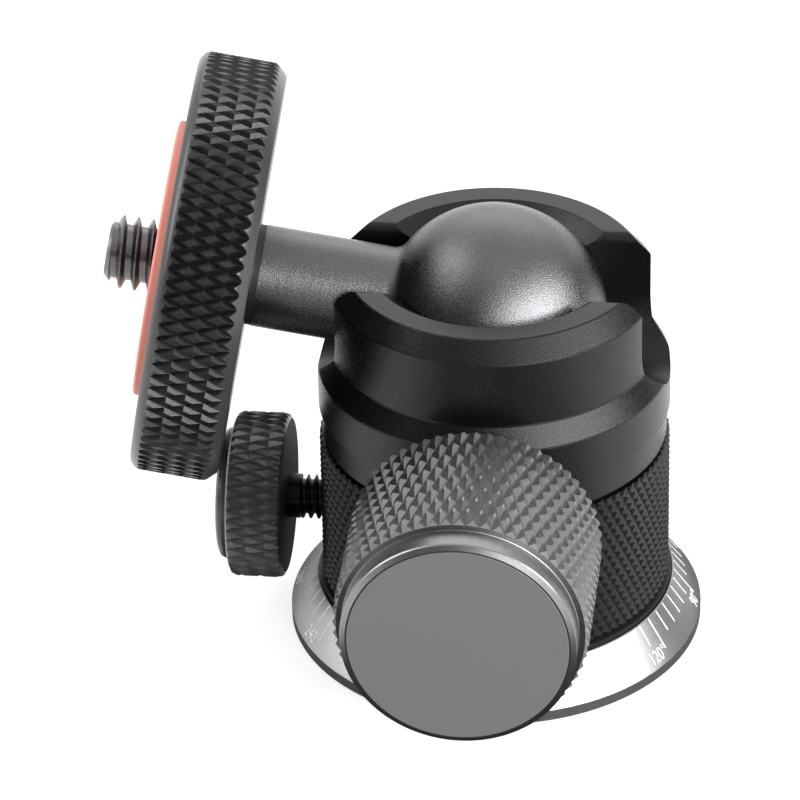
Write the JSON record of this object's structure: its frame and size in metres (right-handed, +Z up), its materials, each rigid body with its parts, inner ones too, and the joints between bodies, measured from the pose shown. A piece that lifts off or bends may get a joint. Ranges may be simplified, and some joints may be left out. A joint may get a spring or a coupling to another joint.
{
  "type": "tripod ball head",
  "caption": "Small tripod ball head with a graduated panning base, two drop notches, a main lock knob, a pan lock knob and a knurled locking disc under the camera stud.",
  "frame": {"origin": "centre of the base's underside, on the pan axis at the mouth of the tripod thread", "axes": "+Z up along the pan axis; the drop notches lie along X with the stem resting at -X; the main lock knob points to -Y"},
  "size_m": [0.0515, 0.0507, 0.0529],
  "materials": {
    "silver": "bright turned",
    "black_anodised": "satin anodised, bead blasted",
    "gunmetal": "bead blasted anodised",
    "knob_grey": "satin anodised",
    "steel": "turned",
    "dark_steel": "blackened",
    "brass": "turned",
    "acetal": "moulded",
    "black_plastic": "moulded",
    "pad_rubber": "matt moulded"
  },
  "bodies": {
    "base": {"base_ring": "silver", "pan_hub": "steel", "hub_screws": "steel", "tripod_bush": "brass", "pan_washer": "black_plastic"},
    "housing": {"housing": "black_anodised", "retaining_ring": "steel", "hub_washer": "acetal", "cup_spring": "steel"},
    "cup": {"ball_cup": "brass", "cup_seat": "acetal"},
    "ball": {"ball_stem": "gunmetal"},
    "stud": {"camera_stud": "dark_steel"},
    "disc_slide": {"disc_washer": "black_plastic"},
    "disc": {"lock_disc": "black_anodised", "disc_pad": "pad_rubber"},
    "lock_slide": {"lock_washer": "steel"},
    "lock_knob": {"lock_screw": "steel", "lock_knob": "knob_grey", "lock_knob_screw": "steel", "lock_knob_cap": "knob_grey"},
    "pan_slide": {"pan_lock_pad": "brass"},
    "pan_knob": {"pan_lock_screw": "dark_steel", "pan_knob": "black_anodised", "pan_knob_cap": "black_anodised"}
  },
  "joints": [
    {"name": "pan", "type": "hinge", "parent": "base", "child": "housing", "pos_m": [0, 0, 0], "axis": [0, 0, 1], "continuous": true},
    {"name": "ball_tilt", "type": "hinge", "parent": "housing", "child": "ball", "pos_m": [0, 0, 0.0302], "axis": [-0.0349, 0.9994, 0], "range_deg": [0, 168]},
    {"name": "camera_spin", "type": "hinge", "parent": "ball", "child": "stud", "pos_m": [0, 0, 0.0302], "axis": [-0.9842, -0.0344, 0.1736], "continuous": true},
    {"name": "disc_travel", "type": "slide", "parent": "stud", "child": "disc_slide", "axis": [-0.9842, -0.0344, 0.1736], "range_m": [0, 0.00253]},
    {"name": "disc_turn", "type": "hinge", "parent": "disc_slide", "child": "disc", "pos_m": [0, 0, 0.0302], "axis": [-0.9842, -0.0344, 0.1736], "range_deg": [0, 720]},
    {"name": "cup_lift", "type": "slide", "parent": "housing", "child": "cup", "axis": [0, 0, -1], "range_m": [0, 0.00026]},
    {"name": "lock_travel", "type": "slide", "parent": "housing", "child": "lock_slide", "axis": [0, -1, 0], "range_m": [0, 0.0008]},
    {"name": "lock_turn", "type": "hinge", "parent": "lock_slide", "child": "lock_knob", "pos_m": [0, -0.025, 0.0183], "axis": [0, -1, 0], "range_deg": [0, 270]},
    {"name": "pan_lock_travel", "type": "slide", "parent": "housing", "child": "pan_slide", "axis": [1, 0, 0], "range_m": [0, 0.00052]},
    {"name": "pan_lock_turn", "type": "hinge", "parent": "pan_slide", "child": "pan_knob", "pos_m": [-0.02, 0, 0.01085], "axis": [1, 0, 0], "range_deg": [0, 270]}
  ],
  "couplings": [
    {"joint": "disc_turn", "follows": "disc_travel", "rad_per_m": 4947.4},
    {"joint": "lock_travel", "follows": "lock_turn", "m_per_rad": 0.00015915},
    {"joint": "cup_lift", "follows": "lock_turn", "m_per_rad": 0.000053052},
    {"joint": "pan_lock_turn", "follows": "pan_lock_travel", "rad_per_m": 8976}
  ]
}
